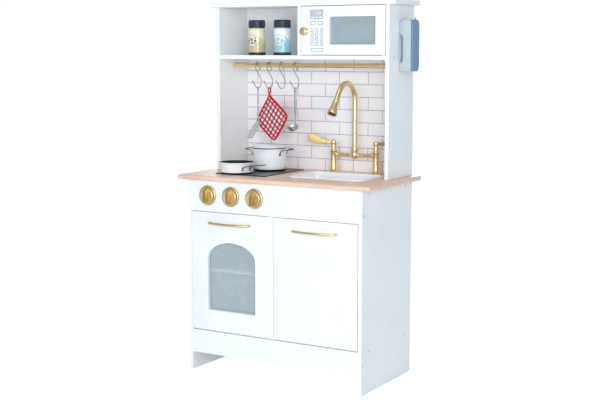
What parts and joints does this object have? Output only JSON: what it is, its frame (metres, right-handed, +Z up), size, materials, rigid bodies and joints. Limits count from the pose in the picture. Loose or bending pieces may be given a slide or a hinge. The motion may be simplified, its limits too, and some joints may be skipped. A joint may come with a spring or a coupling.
{
  "type": "toy kitchen",
  "caption": "Freestanding play kitchen with opening oven, cupboard and microwave doors, turning burner knobs, bridge faucet, lift-out basin, hanging utensils and toy cookware.",
  "frame": {"origin": "bottom centre of the whole part's box, on the floor", "axes": "+Z up, -Y out of the kitchen's front where the child stands, +X to the child's right"},
  "size_m": [0.612, 0.318, 1.025],
  "materials": {
    "lower_side_left": "satin white paint on board",
    "lower_side_right": "satin white paint on board",
    "upper_side_left": "satin white paint on board",
    "upper_side_right": "satin white paint on board",
    "worktop": "pale pinkish wood grain, satin",
    "top_board": "satin white paint on board",
    "upper_shelf": "satin white paint on board",
    "upper_divider": "satin white paint on board",
    "upper_back_panel": "satin, printed with white brick tiles and grey joints below the shelf",
    "control_fascia": "satin white paint on board",
    "kick_rail": "satin white paint on board",
    "cabinet_floor": "satin white paint on board",
    "centre_partition": "satin white paint on board",
    "oven_shelf": "satin white paint on board",
    "lower_back_panel": "satin white paint on board",
    "hob_plate": "gloss black",
    "towel_rail": "brushed gold",
    "faucet_column_left": "gold metallised plastic",
    "faucet_column_right": "gold metallised plastic",
    "faucet_bridge": "gold metallised plastic",
    "oven_door": "satin white paint on board",
    "oven_window": "tinted clear acrylic",
    "oven_handle": "brushed gold",
    "oven_hinge_pin_left": "plain steel",
    "oven_hinge_pin_right": "plain steel",
    "cupboard_door": "satin white paint on board",
    "cupboard_handle": "brushed gold",
    "cupboard_hinge_pin_bottom": "plain steel",
    "cupboard_hinge_pin_top": "plain steel",
    "microwave_door": "satin white paint on board",
    "microwave_window": "tinted clear acrylic",
    "microwave_knob": "gold metallised plastic",
    "microwave_hinge_pin_bottom": "plain steel",
    "microwave_hinge_pin_top": "plain steel",
    "burner_knob_left": "gold metallised plastic",
    "burner_knob_centre": "gold metallised plastic",
    "burner_knob_right": "gold metallised plastic",
    "faucet_spout": "gold metallised plastic",
    "faucet_spray_head": "gold metallised plastic",
    "faucet_lever_left": "gold metallised plastic",
    "faucet_lever_right": "gold metallised plastic",
    "s_hook_1": "polished steel",
    "s_hook_2": "polished steel",
    "s_hook_3": "polished steel",
    "s_hook_4": "polished steel",
    "spatula": "polished steel",
    "ladle": "polished steel",
    "pot_holder": "red and white gingham with red binding",
    "basin": "gloss white",
    "pan": "white enamel outside, black inside",
    "pan_handle": "polished steel",
    "pot": "white enamel with a black base line",
    "pot_handle_left": "polished steel",
    "pot_handle_right": "polished steel",
    "pepper_jar": "clear jar with tan filling, oval label and black base",
    "pepper_cap": "satin near-black",
    "salt_jar": "clear jar with pale blue-white filling, oval label and black base",
    "salt_cap": "satin near-black",
    "phone_handset": "satin light grey",
    "phone_cover": "satin blue grey"
  },
  "bodies": {
    "cabinet": {"lower_side_left": "lower_side_left", "lower_side_right": "lower_side_right", "upper_side_left": "upper_side_left", "upper_side_right": "upper_side_right", "worktop": "worktop", "top_board": "top_board", "upper_shelf": "upper_shelf", "upper_divider": "upper_divider", "upper_back_panel": "upper_back_panel", "control_fascia": "control_fascia", "kick_rail": "kick_rail", "cabinet_floor": "cabinet_floor", "centre_partition": "centre_partition", "oven_shelf": "oven_shelf", "lower_back_panel": "lower_back_panel", "hob_plate": "hob_plate", "towel_rail": "towel_rail", "faucet_column_left": "faucet_column_left", "faucet_column_right": "faucet_column_right", "faucet_bridge": "faucet_bridge"},
    "oven_door": {"oven_door": "oven_door", "oven_window": "oven_window", "oven_handle": "oven_handle", "oven_hinge_pin_left": "oven_hinge_pin_left", "oven_hinge_pin_right": "oven_hinge_pin_right"},
    "cupboard_door": {"cupboard_door": "cupboard_door", "cupboard_handle": "cupboard_handle", "cupboard_hinge_pin_bottom": "cupboard_hinge_pin_bottom", "cupboard_hinge_pin_top": "cupboard_hinge_pin_top"},
    "microwave_door": {"microwave_door": "microwave_door", "microwave_window": "microwave_window", "microwave_knob": "microwave_knob", "microwave_hinge_pin_bottom": "microwave_hinge_pin_bottom", "microwave_hinge_pin_top": "microwave_hinge_pin_top"},
    "burner_knob_left": {"burner_knob_left": "burner_knob_left"},
    "burner_knob_centre": {"burner_knob_centre": "burner_knob_centre"},
    "burner_knob_right": {"burner_knob_right": "burner_knob_right"},
    "faucet_spout": {"faucet_spout": "faucet_spout", "faucet_spray_head": "faucet_spray_head"},
    "faucet_lever_left": {"faucet_lever_left": "faucet_lever_left"},
    "faucet_lever_right": {"faucet_lever_right": "faucet_lever_right"},
    "s_hook_1": {"s_hook_1": "s_hook_1"},
    "s_hook_2": {"s_hook_2": "s_hook_2"},
    "s_hook_3": {"s_hook_3": "s_hook_3"},
    "s_hook_4": {"s_hook_4": "s_hook_4"},
    "spatula": {"spatula": "spatula"},
    "ladle": {"ladle": "ladle"},
    "pot_holder": {"pot_holder": "pot_holder"},
    "basin": {"basin": "basin"},
    "pan": {"pan": "pan", "pan_handle": "pan_handle"},
    "pot": {"pot": "pot", "pot_handle_left": "pot_handle_left", "pot_handle_right": "pot_handle_right"},
    "pepper_jar": {"pepper_jar": "pepper_jar", "pepper_cap": "pepper_cap"},
    "salt_jar": {"salt_jar": "salt_jar", "salt_cap": "salt_cap"},
    "phone": {"phone_handset": "phone_handset", "phone_cover": "phone_cover"}
  },
  "joints": [
    {"name": "oven_door_hinge", "type": "hinge", "parent": "cabinet", "child": "oven_door", "pos_m": [-0.1395, -0.12955, 0.1245], "axis": [1, 0, 0], "range_deg": [0, 90]},
    {"name": "cupboard_door_hinge", "type": "hinge", "parent": "cabinet", "child": "cupboard_door", "pos_m": [0.2482, -0.12955, 0.285], "axis": [0, 0, 1], "range_deg": [0, 100]},
    {"name": "microwave_door_hinge", "type": "hinge", "parent": "cabinet", "child": "microwave_door", "pos_m": [0.2482, 0.01545, 0.945], "axis": [0, 0, 1], "range_deg": [0, 100]},
    {"name": "burner_knob_left_turn", "type": "hinge", "parent": "cabinet", "child": "burner_knob_left", "pos_m": [-0.211, -0.13505, 0.4975], "axis": [0, 1, 0], "continuous": true},
    {"name": "burner_knob_centre_turn", "type": "hinge", "parent": "cabinet", "child": "burner_knob_centre", "pos_m": [-0.1355, -0.13505, 0.4975], "axis": [0, 1, 0], "continuous": true},
    {"name": "burner_knob_right_turn", "type": "hinge", "parent": "cabinet", "child": "burner_knob_right", "pos_m": [-0.0595, -0.13505, 0.4975], "axis": [0, 1, 0], "continuous": true},
    {"name": "spout_swivel", "type": "hinge", "parent": "cabinet", "child": "faucet_spout", "pos_m": [0.106, 0.12495, 0.6028], "axis": [0, 0, 1], "range_deg": [-60, 60]},
    {"name": "faucet_lever_left_turn", "type": "hinge", "parent": "cabinet", "child": "faucet_lever_left", "pos_m": [0.0393, 0.12495, 0.6317], "axis": [0, 0, 1], "range_deg": [0, 70]},
    {"name": "faucet_lever_right_turn", "type": "hinge", "parent": "cabinet", "child": "faucet_lever_right", "pos_m": [0.1727, 0.12495, 0.6317], "axis": [0, 0, 1], "range_deg": [-70, 0]},
    {"name": "s_hook_1_swing", "type": "hinge", "parent": "cabinet", "child": "s_hook_1", "pos_m": [-0.1863, 0.08265, 0.851], "axis": [1, 0, 0], "range_deg": [-20, 2]},
    {"name": "s_hook_2_swing", "type": "hinge", "parent": "cabinet", "child": "s_hook_2", "pos_m": [-0.1482, 0.08265, 0.851], "axis": [1, 0, 0], "range_deg": [-2, 8]},
    {"name": "s_hook_3_swing", "type": "hinge", "parent": "cabinet", "child": "s_hook_3", "pos_m": [-0.1065, 0.08265, 0.851], "axis": [1, 0, 0], "range_deg": [-20, 8]},
    {"name": "s_hook_4_swing", "type": "hinge", "parent": "cabinet", "child": "s_hook_4", "pos_m": [-0.0612, 0.08265, 0.851], "axis": [1, 0, 0], "range_deg": [-20, 8]},
    {"name": "spatula_swing", "type": "hinge", "parent": "s_hook_1", "child": "spatula", "pos_m": [-0.1863, 0.08365, 0.78485], "axis": [0, 1, 0], "range_deg": [-6, 8]},
    {"name": "pot_holder_swing", "type": "hinge", "parent": "s_hook_2", "child": "pot_holder", "pos_m": [-0.1482, 0.08365, 0.78485], "axis": [0, 1, 0], "range_deg": [-5, 5]},
    {"name": "ladle_swing", "type": "hinge", "parent": "s_hook_4", "child": "ladle", "pos_m": [-0.0612, 0.08365, 0.78485], "axis": [0, 1, 0], "range_deg": [-8, 4]},
    {"name": "basin_lift", "type": "slide", "parent": "cabinet", "child": "basin", "axis": [0, 0, 1], "range_m": [0, 0.06]},
    {"name": "pan_lift", "type": "slide", "parent": "cabinet", "child": "pan", "axis": [0, 0, 1], "range_m": [0, 0.06]},
    {"name": "pot_slide", "type": "slide", "parent": "cabinet", "child": "pot", "axis": [1, 0, 0], "range_m": [0, 0.04]},
    {"name": "pepper_jar_pull", "type": "slide", "parent": "cabinet", "child": "pepper_jar", "axis": [0, -1, 0], "range_m": [0, 0.06]},
    {"name": "salt_jar_pull", "type": "slide", "parent": "cabinet", "child": "salt_jar", "axis": [0, -1, 0], "range_m": [0, 0.06]},
    {"name": "phone_lift_off", "type": "slide", "parent": "cabinet", "child": "phone", "axis": [1, 0, 0], "range_m": [0, 0.06]}
  ]
}
